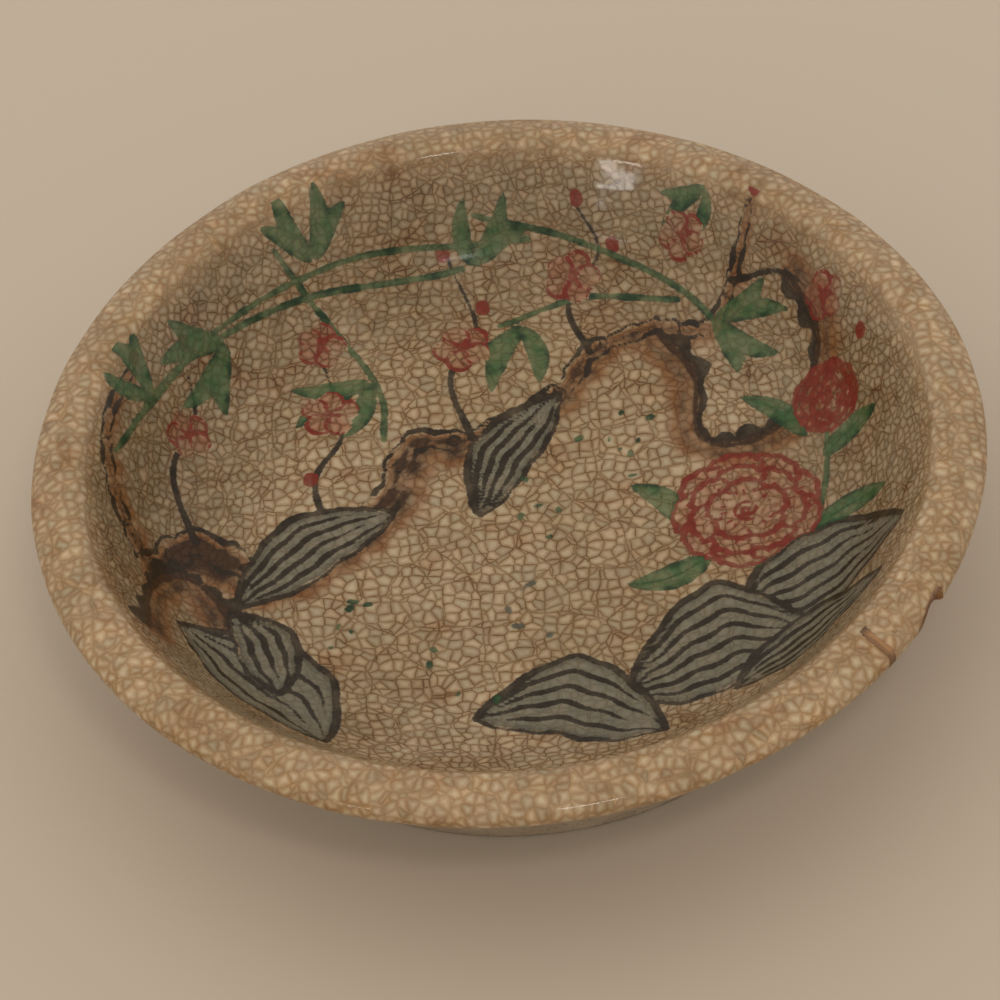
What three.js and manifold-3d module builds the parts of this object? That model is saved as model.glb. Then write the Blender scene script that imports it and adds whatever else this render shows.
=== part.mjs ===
// A crackle-glazed stoneware deep dish: a thick-walled bowl with a rounded lip, a luted foot
// ring, and one old break in the lip whose fragment was set back with a fill of lacquer.
// Millimetres, +Z up. The origin is on the table, in the middle of the foot ring.
import * as THREE from "three";
import { mergeVertices } from "three/addons/utils/BufferGeometryUtils.js";
import Module from "manifold-3d";

const wasm = await Module();
wasm.setup();

// The bowl
const rimRadius = 115; // middle of the dish to the outermost reach of the lip
const dishHeight = 56; // table to the crest of the lip
const innerDepth = 33; // crest of the lip down to the middle of the floor
const wallThickness = 8.5; // square to the wall
const wallAngle = THREE.MathUtils.degToRad(55); // wall above the horizontal
const cornerRadius = 26; // hollow curve between floor and wall
const floorEdgeAngle = THREE.MathUtils.degToRad(5); // rise of the floor where the curve begins
const bellyStartAngle = THREE.MathUtils.degToRad(4); // rise of the underside beside the foot

// The lip: a gently falling top between a round inner shoulder and a tight outer edge
const lipReach = 9.4; // crest to the outermost point, level
const lipFall = THREE.MathUtils.degToRad(28); // slope of the top where it meets the outer edge
const lipEdgeRadius = 2.8;
const lipInnerRadius = 5.2; // round shoulder between the crest and the inside wall
const lipTuck = THREE.MathUtils.degToRad(50); // how far the outer edge turns under

// The hand-made unevenness of the lip, which dies away towards the foot
const rimThreeLobes = 0.4; // out of round, in and out, with three lobes
const rimThreeLobesAt = THREE.MathUtils.degToRad(-23); // one of the outward lobes
const rimFourLobes = 0.3;
const rimFourLobesAt = THREE.MathUtils.degToRad(10);
const rimWave = 0.6; // up and down, with two highest places
const rimWaveAt = THREE.MathUtils.degToRad(-30); // one of the highest places

// The foot ring
const footRadius = 80; // outer edge at the joint with the bowl
const footHeight = 14; // table to the joint
const footWidth = 8; // at the joint
const footTaper = 1.2; // how much each side leans in towards the table
const footChamfer = 0.8; // wiped edges of the resting face
const footMargin = 2; // level underside left outside the ring

// The break in the lip and its repair
const breakStart = THREE.MathUtils.degToRad(-44.75); // at the crest, about the upright axis from +X
const breakSlant = 0.39; // how far that end runs along the lip for each millimetre down
const breakEnd = THREE.MathUtils.degToRad(-32.6);
const breakBehindCrest = 1.2; // crest of the lip inwards to the inside line of the break
const breakAbove = 5.5; // the space of the break reaches past the crest
const breakBelow = 26.5; // and this far down
const breakLean = 9; // how far the inside of the break leans outwards, from top to bottom
const breakRoughness = 0.4; // waviness of the broken faces
const breakWaveLength = 12;
const mendGap = 1.8; // dish to fragment at the first end, where the fill is
const mendFit = 0.3; // fill to clay each side, and fragment to dish elsewhere
const chipAt = THREE.MathUtils.degToRad(-33.5); // flake lost from the fragment's outer edge
const chipLength = 24;
const chipHeight = 11;
const chipDepth = 3.8;

// Fineness
const turnSteps = 96;
const arcStep = THREE.MathUtils.degToRad(9);

const crestRadius = rimRadius - lipReach;
const lipTopRadius =
  (lipReach - lipEdgeRadius * (1 - Math.sin(lipFall))) / Math.sin(lipFall);
const outermostHeight =
  dishHeight - lipTopRadius * (1 - Math.cos(lipFall)) - lipEdgeRadius * Math.cos(lipFall);
const floorHeight = dishHeight - innerDepth;
const wallSlope = Math.tan(wallAngle);

const glaze = new THREE.MeshStandardMaterial({ color: 0xb9a283, roughness: 0.35, metalness: 0 });
const bareClay = new THREE.MeshStandardMaterial({ color: 0x8d6f55, roughness: 0.85, metalness: 0 });
const lacquer = new THREE.MeshStandardMaterial({ color: 0x8a5527, roughness: 0.5, metalness: 0 });

// Points of an arc of a circle, from one angle to another, both ends included.
function arcPoints(centreR, centreZ, radius, from, to) {
  const steps = Math.max(2, Math.ceil(Math.abs(to - from) / arcStep));
  const arc = new THREE.EllipseCurve(centreR, centreZ, radius, radius, from, to, to < from);
  return arc.getPoints(steps);
}

// The inside, from the middle of the floor out and up to the crest of the lip.
function insideProfile() {
  const shoulderR = crestRadius - lipInnerRadius * Math.sin(wallAngle);
  const shoulderZ = dishHeight - lipInnerRadius * (1 - Math.cos(wallAngle));
  const cornerRun = cornerRadius * (Math.sin(wallAngle) - Math.sin(floorEdgeAngle));
  const cornerRise = cornerRadius * (Math.cos(floorEdgeAngle) - Math.cos(wallAngle));
  const floorRise = Math.tan(floorEdgeAngle / 2); // per millimetre of floor radius
  const wallFootR =
    (floorHeight - cornerRun * floorRise - shoulderZ + shoulderR * wallSlope + cornerRise) /
    (wallSlope - floorRise);
  const wallFootZ = shoulderZ - (shoulderR - wallFootR) * wallSlope;
  const floorRadius = wallFootR - cornerRun;
  const floorCurve = floorRadius / Math.sin(floorEdgeAngle);
  const floorPoints = 8;
  const floor = Array.from({ length: floorPoints }, (_, i) => {
    const radius = (floorRadius * i) / floorPoints;
    const sag = floorCurve - Math.sqrt(floorCurve ** 2 - radius ** 2);
    return new THREE.Vector2(radius, floorHeight + sag);
  });
  const down = -Math.PI / 2;
  const corner = arcPoints(
    wallFootR - cornerRadius * Math.sin(wallAngle),
    wallFootZ + cornerRadius * Math.cos(wallAngle),
    cornerRadius,
    down + floorEdgeAngle,
    down + wallAngle,
  );
  const shoulder = arcPoints(
    crestRadius,
    dishHeight - lipInnerRadius,
    lipInnerRadius,
    Math.PI / 2 + wallAngle,
    Math.PI / 2,
  );
  return [...floor, ...corner, ...shoulder];
}

// Where the outside face of the wall is, at a height.
function outsideWallRadius(z) {
  const shoulderR = crestRadius - lipInnerRadius * Math.sin(wallAngle);
  const shoulderZ = dishHeight - lipInnerRadius * (1 - Math.cos(wallAngle));
  return shoulderR + (z - shoulderZ) / wallSlope + wallThickness / Math.sin(wallAngle);
}

// The outside, from the crest of the lip over, under and down to the level seat of the foot.
function outsideProfile() {
  const up = Math.PI / 2;
  const top = arcPoints(crestRadius, dishHeight - lipTopRadius, lipTopRadius, up, up - lipFall);
  const edgeR = rimRadius - lipEdgeRadius;
  const edge = arcPoints(edgeR, outermostHeight, lipEdgeRadius, up - lipFall, -lipTuck);
  const tucked = edge[edge.length - 1];
  const heading = new THREE.Vector2(-Math.sin(lipTuck), -Math.cos(lipTuck));
  // Two rounded corners: the neck, where the edge's tangent meets the outside of the wall, and
  // the belly, where the outside of the wall meets the rise from the foot.
  const gap = tucked.x - outsideWallRadius(tucked.y);
  const travel = gap / (heading.y / wallSlope - heading.x);
  const neck = new THREE.Vector2(tucked.x + heading.x * travel, tucked.y + heading.y * travel);
  const seatEdge = new THREE.Vector2(footRadius + footMargin, footHeight);
  const bellySlope = Math.tan(bellyStartAngle);
  const bellyRun = outsideWallRadius(footHeight) - seatEdge.x;
  const bellyR = seatEdge.x + (bellyRun * wallSlope) / (wallSlope - bellySlope);
  const belly = new THREE.Vector2(bellyR, footHeight + (bellyR - seatEdge.x) * bellySlope);
  const middle = neck.clone().lerp(belly, 0.5);
  const upper = new THREE.QuadraticBezierCurve(tucked, neck, middle).getPoints(8);
  const lower = new THREE.QuadraticBezierCurve(middle, belly, seatEdge).getPoints(10);
  return [...top.slice(1), ...edge.slice(1), ...upper.slice(1), ...lower.slice(1)];
}

// The dish is not quite round or level: each point of the lip moves a little.
function unevenLip(geometry) {
  const place = geometry.getAttribute("position");
  const point = new THREE.Vector3();
  for (let i = 0; i < place.count; i += 1) {
    point.fromBufferAttribute(place, i);
    const turn = Math.atan2(point.y, point.x);
    const share = THREE.MathUtils.smoothstep(point.z, footHeight, dishHeight);
    const radius = Math.hypot(point.x, point.y);
    const threeLobes = rimThreeLobes * (Math.cos(3 * (turn - rimThreeLobesAt)) - 1);
    const fourLobes = rimFourLobes * (Math.cos(4 * (turn - rimFourLobesAt)) - 1);
    const wave = rimWave * (Math.cos(2 * (turn - rimWaveAt)) - 1);
    const inOut = share * (threeLobes + fourLobes) * (radius / rimRadius);
    point.x += inOut * Math.cos(turn);
    point.y += inOut * Math.sin(turn);
    point.z += share * wave * (radius / rimRadius) ** 2;
    place.setXYZ(i, point.x, point.y, point.z);
  }
  return geometry;
}

// A profile of (radius, height) points, turned about the dish's upright axis.
function turned(profile) {
  return new THREE.LatheGeometry(profile, turnSteps).rotateX(Math.PI / 2);
}

function solidFrom(geometry) {
  const bare = geometry.clone();
  bare.deleteAttribute("normal");
  bare.deleteAttribute("uv");
  const merged = mergeVertices(bare, 1e-4);
  return new wasm.Manifold(
    new wasm.Mesh({
      numProp: 3,
      vertProperties: merged.getAttribute("position").array,
      triVerts: new Uint32Array(merged.index.array),
    }),
  );
}

function geometryFrom(solid) {
  const mesh = solid.getMesh();
  const geometry = new THREE.BufferGeometry();
  geometry.setAttribute("position", new THREE.BufferAttribute(mesh.vertProperties, 3));
  geometry.setIndex(new THREE.BufferAttribute(mesh.triVerts, 1));
  geometry.computeVertexNormals();
  return geometry;
}

function wholeBowl() {
  const seatEdge = new THREE.Vector2(0, footHeight);
  const profile = [...insideProfile(), ...outsideProfile(), seatEdge];
  return solidFrom(unevenLip(turned(profile.reverse())));
}

// The space the broken fragment came out of. The block's inside and its two ends are faces of
// the break, each moved by its own shift; the block reaches past the lip everywhere else.
function breakBlock(startShift, endShift, insideShift) {
  const block = new THREE.BoxGeometry(1, 1, 1, 8, 12, 12);
  const place = block.getAttribute("position");
  const topZ = dishHeight + breakAbove;
  const bottomZ = dishHeight - breakBelow;
  const wave = (2 * Math.PI) / breakWaveLength;
  for (let i = 0; i < place.count; i += 1) {
    const across = place.getX(i) + 0.5;
    const along = place.getY(i) + 0.5;
    const z = THREE.MathUtils.lerp(bottomZ, topZ, place.getZ(i) + 0.5);
    const lean = (breakLean * (topZ - z)) / (topZ - bottomZ);
    const insideR = crestRadius - breakBehindCrest + lean + insideShift;
    const evenR = THREE.MathUtils.lerp(insideR, rimRadius + lipReach, across);
    const wander = breakRoughness * Math.sin(wave * (evenR + z));
    const slant = breakSlant * (dishHeight - z);
    const start = breakStart + (startShift + wander + slant) / evenR;
    const end = breakEnd + (endShift + wander) / evenR;
    const turn = THREE.MathUtils.lerp(start, end, along);
    const ripple = breakRoughness * Math.sin(wave * (rimRadius * turn + z));
    const radius = evenR + ripple * (1 - across);
    place.setXYZ(i, radius * Math.cos(turn), radius * Math.sin(turn), z);
  }
  return solidFrom(block);
}

// The hollow that the lost flake left, open towards the nearer end of the break.
function chipScallop() {
  const scallop = new THREE.SphereGeometry(1, 24, 16);
  scallop.scale(chipDepth, chipLength / 2, chipHeight / 2);
  scallop.translate(rimRadius, 0, outermostHeight - chipDepth);
  scallop.rotateZ(chipAt);
  return solidFrom(scallop);
}

// The foot ring: a coil of clay turned true, both sides leaning in, its edges wiped.
function footRing() {
  const innerRadius = footRadius - footWidth;
  return turned([
    new THREE.Vector2(innerRadius, footHeight),
    new THREE.Vector2(innerRadius + footTaper, footChamfer),
    new THREE.Vector2(innerRadius + footTaper + footChamfer, 0),
    new THREE.Vector2(footRadius - footTaper - footChamfer, 0),
    new THREE.Vector2(footRadius - footTaper, footChamfer),
    new THREE.Vector2(footRadius, footHeight),
    new THREE.Vector2(innerRadius, footHeight),
  ]);
}

function named(name, geometry, material) {
  const mesh = new THREE.Mesh(geometry, material);
  mesh.name = name;
  return mesh;
}

const bowl = wholeBowl();
const body = bowl.subtract(breakBlock(-mendGap, mendFit, -mendFit));
const fragment = bowl.intersect(breakBlock(0, 0, 0)).subtract(chipScallop());
const fill = bowl
  .intersect(breakBlock(mendFit - mendGap, 0, 0))
  .subtract(breakBlock(-mendFit, mendFit, -mendFit));

const dish = new THREE.Group();
dish.add(
  named("dish_body", geometryFrom(body), glaze),
  named("rim_fragment", geometryFrom(fragment), glaze),
  named("mend_fill", geometryFrom(fill), lacquer),
  named("foot_ring", footRing(), bareClay),
);

export default dish;
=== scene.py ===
# Looks of the crackle-glazed deep dish: the turned bowl with its painted inside, the foot ring,
# and the refitted piece of lip with its lacquer fill. Shapes are worked out in millimetres.
import math

import bpy
import numpy as np
from mathutils import Matrix, Vector


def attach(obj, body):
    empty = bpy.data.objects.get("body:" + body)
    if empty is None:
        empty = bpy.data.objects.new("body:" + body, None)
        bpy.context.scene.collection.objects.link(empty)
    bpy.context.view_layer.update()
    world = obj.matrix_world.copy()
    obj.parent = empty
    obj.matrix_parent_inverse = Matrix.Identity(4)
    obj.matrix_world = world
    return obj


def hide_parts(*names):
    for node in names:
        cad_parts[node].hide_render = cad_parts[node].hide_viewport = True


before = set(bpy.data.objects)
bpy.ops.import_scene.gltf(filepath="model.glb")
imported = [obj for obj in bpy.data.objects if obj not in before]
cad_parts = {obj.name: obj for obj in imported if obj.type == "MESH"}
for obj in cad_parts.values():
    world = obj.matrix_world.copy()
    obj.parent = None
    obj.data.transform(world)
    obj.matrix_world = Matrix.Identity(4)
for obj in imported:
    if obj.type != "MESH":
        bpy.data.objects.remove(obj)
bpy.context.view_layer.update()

MM = 0.001
DEG = math.pi / 180

# The bowl, with the sizes of the CAD model
RIM_RADIUS = 115.0
DISH_HEIGHT = 56.0
INNER_DEPTH = 33.0
WALL_THICKNESS = 8.5
WALL_ANGLE = 55 * DEG
CORNER_RADIUS = 26.0
FLOOR_EDGE_ANGLE = 5 * DEG
BELLY_START_ANGLE = 4 * DEG
LIP_REACH = 9.4
LIP_FALL = 28 * DEG
LIP_EDGE_RADIUS = 2.8
LIP_INNER_RADIUS = 5.2
LIP_TUCK = 50 * DEG
FOOT_RADIUS = 80.0
FOOT_HEIGHT = 14.0
FOOT_WIDTH = 8.0
FOOT_TAPER = 1.2
FOOT_CHAMFER = 0.8
FOOT_MARGIN = 2.0
CREST_RADIUS = RIM_RADIUS - LIP_REACH
LIP_TOP_RADIUS = (LIP_REACH - LIP_EDGE_RADIUS * (1 - math.sin(LIP_FALL))) / math.sin(LIP_FALL)
LIP_TOP_DROP = LIP_TOP_RADIUS * (1 - math.cos(LIP_FALL))
OUTERMOST_HEIGHT = DISH_HEIGHT - LIP_TOP_DROP - LIP_EDGE_RADIUS * math.cos(LIP_FALL)
FLOOR_HEIGHT = DISH_HEIGHT - INNER_DEPTH
WALL_SLOPE = math.tan(WALL_ANGLE)
SHOULDER_RADIUS = CREST_RADIUS - LIP_INNER_RADIUS * math.sin(WALL_ANGLE)
SHOULDER_HEIGHT = DISH_HEIGHT - LIP_INNER_RADIUS * (1 - math.cos(WALL_ANGLE))

# The hand-made unevenness of the lip
THREE_LOBES, THREE_LOBES_AT = 0.4, -23 * DEG
FOUR_LOBES, FOUR_LOBES_AT = 0.3, 10 * DEG
WAVE, WAVE_AT = 0.6, -30 * DEG

# The break in the lip
BREAK_START = -43.5 * DEG
BREAK_END = -32.6 * DEG
BREAK_BEHIND_CREST = 1.2
BREAK_TOP = DISH_HEIGHT + 5.5
BREAK_BOTTOM = DISH_HEIGHT - 26.5
BREAK_LEAN = 9.0
BREAK_ROUGHNESS = 0.4
BREAK_GRAIN = 0.12
BREAK_WAVE = 2 * math.pi / 12
MEND_GAP = 1.8
SEAM_OVERLAP = 0.8  # how far the lacquer runs over the inner edge of the break
JOIN = 0.05  # hairline between fragment and dish
CHIP_AT = -33.5 * DEG
CHIP_SIZE = (3.8, 12.0, 5.5)  # depth, half length, half height
CHIP_HEIGHT = OUTERMOST_HEIGHT - 3.0
PINHOLE = (125.0, -41.3 * DEG)  # along the profile, and turn

# Marks of the maker's hands and tools
THROWING_RIDGE = 0.09  # outside; the inside was wiped smoother
WIPED_RIDGE = 0.02
THROWING_PITCH = 8.5
LIP_WAVER = 0.13
FILL_SWELL = 0.14  # how far the lacquer stands over the glaze

FLOOR_REACH = 4000.0

# The painted layers, and what they and the stain hold where there is none
LAYERS = ("ink", "wash", "umber", "green", "red", "rose")
UNPAINTED = -3.0
UNSTAINED = -3.0
PAINTED_REACH = 4.0  # how far past the shoulder the painting may go


# Profile

def on_circle(turn):
    """The point of the unit circle at a turn, or the points at an array of turns."""
    return np.stack([np.cos(turn), np.sin(turn)], axis=-1)


def round_the_axis(radius, turn, z):
    """Points in space from their radius, turn and height."""
    level = np.broadcast_to(z, np.shape(turn))
    return np.column_stack([radius * np.cos(turn), radius * np.sin(turn), level])


def arc(centre_r, centre_z, radius, start, end, count=48):
    return (centre_r, centre_z) + radius * on_circle(np.linspace(start, end, count))


def bend(first, corner, last, count=48):
    t = np.linspace(0, 1, count)[:, None]
    return (1 - t) ** 2 * first + 2 * t * (1 - t) * corner + t * t * last


def inside_profile():
    """From the middle of the floor to the crest of the lip."""
    run = CORNER_RADIUS * (math.sin(WALL_ANGLE) - math.sin(FLOOR_EDGE_ANGLE))
    rise = CORNER_RADIUS * (math.cos(FLOOR_EDGE_ANGLE) - math.cos(WALL_ANGLE))
    floor_rise = math.tan(FLOOR_EDGE_ANGLE / 2)
    foot_r = FLOOR_HEIGHT - run * floor_rise - SHOULDER_HEIGHT + SHOULDER_RADIUS * WALL_SLOPE + rise
    foot_r /= WALL_SLOPE - floor_rise
    foot_z = SHOULDER_HEIGHT - (SHOULDER_RADIUS - foot_r) * WALL_SLOPE
    floor_radius = foot_r - run
    curve = floor_radius / math.sin(FLOOR_EDGE_ANGLE)
    radius = np.linspace(0, floor_radius, 80)
    floor = np.column_stack([radius, FLOOR_HEIGHT + curve - np.sqrt(curve ** 2 - radius ** 2)])
    down = -math.pi / 2
    corner = arc(
        foot_r - CORNER_RADIUS * math.sin(WALL_ANGLE),
        foot_z + CORNER_RADIUS * math.cos(WALL_ANGLE),
        CORNER_RADIUS,
        down + FLOOR_EDGE_ANGLE,
        down + WALL_ANGLE,
    )
    shoulder = arc(
        CREST_RADIUS,
        DISH_HEIGHT - LIP_INNER_RADIUS,
        LIP_INNER_RADIUS,
        math.pi / 2 + WALL_ANGLE,
        math.pi / 2,
    )
    return np.vstack([floor, corner, shoulder])


def outside_wall_radius(z):
    across = WALL_THICKNESS / math.sin(WALL_ANGLE)
    return SHOULDER_RADIUS + (z - SHOULDER_HEIGHT) / WALL_SLOPE + across


def lip_outside():
    """From the crest over the falling top and round the outer edge to where it is tucked under."""
    up = math.pi / 2
    top = arc(CREST_RADIUS, DISH_HEIGHT - LIP_TOP_RADIUS, LIP_TOP_RADIUS, up, up - LIP_FALL)
    edge_r = RIM_RADIUS - LIP_EDGE_RADIUS
    edge = arc(edge_r, OUTERMOST_HEIGHT, LIP_EDGE_RADIUS, up - LIP_FALL, -LIP_TUCK)
    return np.vstack([top[1:], edge[1:]])


def belly_outside(tucked):
    """From under the lip, down the wall, to the level seat of the foot."""
    heading = np.array([-math.sin(LIP_TUCK), -math.cos(LIP_TUCK)])
    gap = tucked[0] - outside_wall_radius(tucked[1])
    neck = tucked + heading * gap / (heading[1] / WALL_SLOPE - heading[0])
    seat = np.array([FOOT_RADIUS + FOOT_MARGIN, FOOT_HEIGHT])
    belly_slope = math.tan(BELLY_START_ANGLE)
    run = outside_wall_radius(FOOT_HEIGHT) - seat[0]
    belly_r = seat[0] + run * WALL_SLOPE / (WALL_SLOPE - belly_slope)
    belly = np.array([belly_r, FOOT_HEIGHT + (belly_r - seat[0]) * belly_slope])
    middle = (neck + belly) / 2
    return np.vstack([bend(tucked, neck, middle)[1:], bend(middle, belly, seat)[1:]])


def lengths_along(points):
    return np.concatenate([[0], np.cumsum(np.linalg.norm(np.diff(points, axis=0), axis=1))])


INSIDE = inside_profile()
LIP = lip_outside()
BELLY = belly_outside(LIP[-1])
PROFILE = np.vstack([INSIDE, LIP, BELLY, [[0, FOOT_HEIGHT]]])
ALONG = lengths_along(PROFILE)
AT_CREST = ALONG[len(INSIDE) - 1]
AT_NECK = ALONG[len(INSIDE) + len(LIP) - 1]
AT_SEAT = ALONG[-2]
AT_BASE = ALONG[-1]
AT_SHOULDER = AT_CREST - LIP_INNER_RADIUS * WALL_ANGLE


def profile_at(along):
    """Radius, height and the direction out of the clay, at lengths along the profile."""
    def read(at):
        return np.column_stack([np.interp(at, ALONG, PROFILE[:, k]) for k in (0, 1)])

    place = read(along)
    step = read(along + 0.2) - read(along - 0.2)
    step /= np.linalg.norm(step, axis=1)[:, None]
    return place, np.column_stack([-step[:, 1], step[:, 0]])


def lobes(turn):
    three = THREE_LOBES * (np.cos(3 * (turn - THREE_LOBES_AT)) - 1)
    four = FOUR_LOBES * (np.cos(4 * (turn - FOUR_LOBES_AT)) - 1)
    return three + four


def share_of_lip(z):
    share = np.clip((z - FOOT_HEIGHT) / (DISH_HEIGHT - FOOT_HEIGHT), 0, 1)
    return share * share * (3 - 2 * share)


def make_uneven(radius, z, turn):
    share = share_of_lip(z)
    wave = WAVE * (np.cos(2 * (turn - WAVE_AT)) - 1)
    return (
        radius * (1 + share * lobes(turn) / RIM_RADIUS),
        z + share * wave * (radius / RIM_RADIUS) ** 2,
    )


def make_even(radius, z, turn):
    """Takes the unevenness out again, by a few rounds of guessing."""
    even_r, even_z = radius.copy(), z.copy()
    for _ in range(6):
        made_r, made_z = make_uneven(even_r, even_z, turn)
        even_r += radius - made_r
        even_z += z - made_z
    return even_r, even_z


def place_on_profile(points):
    """Where points of the dish lie: the turn about the axis and the length along the profile."""
    turn = np.arctan2(points[:, 1], points[:, 0])
    radius, z = make_even(np.hypot(points[:, 0], points[:, 1]), points[:, 2], turn)
    stations = np.arange(0, AT_BASE, 0.5)
    places, out = profile_at(stations)
    ahead = np.column_stack([out[:, 1], -out[:, 0]])
    along = np.empty(len(points))
    batch = 20000
    for start in range(0, len(points), batch):
        part = slice(start, start + batch)
        here = np.column_stack([radius[part], z[part]])
        gap = (here[:, :1] - places[:, 0]) ** 2 + (here[:, 1:] - places[:, 1]) ** 2
        best = gap.argmin(axis=1)
        along[part] = stations[best] + np.sum((here - places[best]) * ahead[best], axis=1)
    return turn, along


# Meshes

def ring_plan(tiers):
    """Rings from tiers of (from, to, step, points around)."""
    rings = []
    for start, stop, step, count in tiers:
        rows = max(1, round((stop - start) / step))
        rings += [(start + (stop - start) * i / rows, count) for i in range(rows)]
    return rings


def flipped(faces):
    """The same faces, seen from the other side."""
    return [face[::-1] for face in faces]


def band_faces(a, count_a, b, count_b):
    """Faces between two rings whose counts are the same, or one twice the other."""
    if count_a > count_b:
        return flipped(band_faces(b, count_b, a, count_a))
    j = np.arange(count_a)
    k = (j + 1) % count_a
    if count_a == count_b:
        return np.column_stack([a + j, b + j, b + k, a + k]).tolist()
    middle = b + 2 * j + 1
    last = b + (2 * j + 2) % count_b
    return (
        np.column_stack([a + j, b + 2 * j, middle]).tolist()
        + np.column_stack([a + j, middle, a + k]).tolist()
        + np.column_stack([a + k, middle, last]).tolist()
    )


def fan_faces(tip, ring, count):
    """Triangles between a point and a ring, which go round with the ring."""
    j = np.arange(count)
    return np.column_stack([np.full(count, tip), ring + j, ring + (j + 1) % count]).tolist()


def ridges(along, turn):
    """How far the surface lies under the plain profile, from throwing and trimming."""
    spiral = 0.5 + 0.5 * np.cos(2 * math.pi * along / THROWING_PITCH - turn)
    on_lip = np.clip(np.minimum(along - AT_SHOULDER + 8, AT_NECK + 6 - along) / 8, 0, 1)
    near_axis = np.clip(along / 12, 0, 1) * np.clip((AT_SEAT - along) / 8, 0, 1)
    depth = THROWING_RIDGE if along > AT_NECK else WIPED_RIDGE
    waver = np.sin(11 * turn + 1) + np.sin(17 * turn + 0.3 * along)
    waver = waver + 0.8 * np.sin(29 * turn - 0.2 * along)
    return depth * spiral * (1 - on_lip) * near_axis + LIP_WAVER * on_lip * (1 + waver / 2.8)


def bowl_shape(swell=0.0):
    """Points and faces of the whole bowl, as one closed surface."""
    rings = ring_plan(
        [
            (0.8, 6, 0.8, 40),
            (6, 12, 0.8, 80),
            (12, 25, 0.8, 160),
            (25, 50, 0.82, 320),
            (50, AT_SHOULDER - 1, 0.85, 640),
            (AT_SHOULDER - 1, AT_NECK + 2, 0.85, 320),
            (AT_NECK + 2, AT_SEAT, 1.7, 160),
            (AT_SEAT, AT_BASE - 24, 2.5, 160),
            (AT_BASE - 24, AT_BASE - 10, 2.5, 80),
            (AT_BASE - 10, AT_BASE - 1, 2.5, 40),
        ]
    )
    points = [np.array([[0, 0, FLOOR_HEIGHT + swell]])]
    faces = []
    first = 1
    before = None
    for along, count in rings:
        turn = 2 * math.pi * np.arange(count) / count
        place, out = profile_at(np.full(count, along))
        lift = swell - ridges(along, turn)
        radius, z = place[:, 0] + out[:, 0] * lift, place[:, 1] + out[:, 1] * lift
        radius, z = make_uneven(radius, z, turn)
        points.append(round_the_axis(radius, turn, z))
        if before is None:
            faces += fan_faces(0, first, count)
        else:
            faces += band_faces(*before, first, count)
        before = (first, count)
        first += count
    points.append(np.array([[0, 0, FOOT_HEIGHT - swell]]))
    faces += flipped(fan_faces(first, *before))
    return np.vstack(points), faces


def block_shape(steps, where):
    """A closed block of steps by steps faces whose points are moved by where(across, along, up)."""
    index = {}
    faces = []

    def corner(axis, level, u, v):
        place = [0, 0, 0]
        place[axis] = level
        place[(axis + 1) % 3] = u
        place[(axis + 2) % 3] = v
        return index.setdefault(tuple(place), len(index))

    for axis in range(3):
        for u in range(steps[(axis + 1) % 3]):
            for v in range(steps[(axis + 2) % 3]):
                square = ((u, v), (u + 1, v), (u + 1, v + 1), (u, v + 1))
                faces.append([corner(axis, steps[axis], *place) for place in square])
                faces.append([corner(axis, 0, *place) for place in reversed(square)])
    share = np.array(list(index)) / np.array(steps)
    return where(share[:, 0], share[:, 1], share[:, 2]), faces


def grain(a, b):
    """Fine roughness of broken clay, from -1 to 1."""
    return (
        0.40 * np.sin(2.1 * a + 1.3 * b)
        + 0.35 * np.sin(3.7 * a - 2.9 * b + 1)
        + 0.25 * np.sin(6.1 * a + 4.3 * b + 2)
    )


def break_inside(z):
    """Radius of the inside face of the break."""
    lean = BREAK_LEAN * (BREAK_TOP - z) / (BREAK_TOP - BREAK_BOTTOM)
    return CREST_RADIUS - BREAK_BEHIND_CREST + lean


def break_relief(length, z):
    """How far the broken clay stands out from a smooth face."""
    return BREAK_ROUGHNESS * np.sin(BREAK_WAVE * (length + z)) + BREAK_GRAIN * grain(length, z)


def across_break(across, up, inside_shift):
    """Radius and height of points of a block that stands in the break."""
    z = BREAK_BOTTOM + (BREAK_TOP - BREAK_BOTTOM) * up
    inside = break_inside(z) + inside_shift
    return inside + (RIM_RADIUS + LIP_REACH - inside) * across, z


def break_block(start_shift, end_shift, inside_shift):
    """The space the fragment came out of, each face of the break moved by its own shift."""
    def where(across, along, up):
        even, z = across_break(across, up, inside_shift)
        wander = break_relief(even, z)
        start = BREAK_START + (start_shift + wander) / even
        end = BREAK_END + (end_shift + wander) / even
        turn = start + (end - start) * along
        radius = even + break_relief(RIM_RADIUS * turn, z) * (1 - across)
        return round_the_axis(radius, turn, z)

    return block_shape((14, 28, 40), where)


def seam_block():
    """The lacquer's wider space, whose two edges wander over the glaze on both sides."""
    def where(across, along, up):
        even, z = across_break(across, up, -SEAM_OVERLAP)
        wander = break_relief(even, z)
        spread = 0.16 + 0.14 * np.sin(1.1 * even + 0.8 * z) + 0.08 * np.sin(2.7 * even - 1.3 * z)
        start = BREAK_START + (wander - MEND_GAP - spread) / even
        end = BREAK_START + (wander + spread[::-1]) / even  # reversed, so that the edges differ
        return round_the_axis(even, start + (end - start) * along, z)

    return block_shape((40, 4, 60), where)


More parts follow.
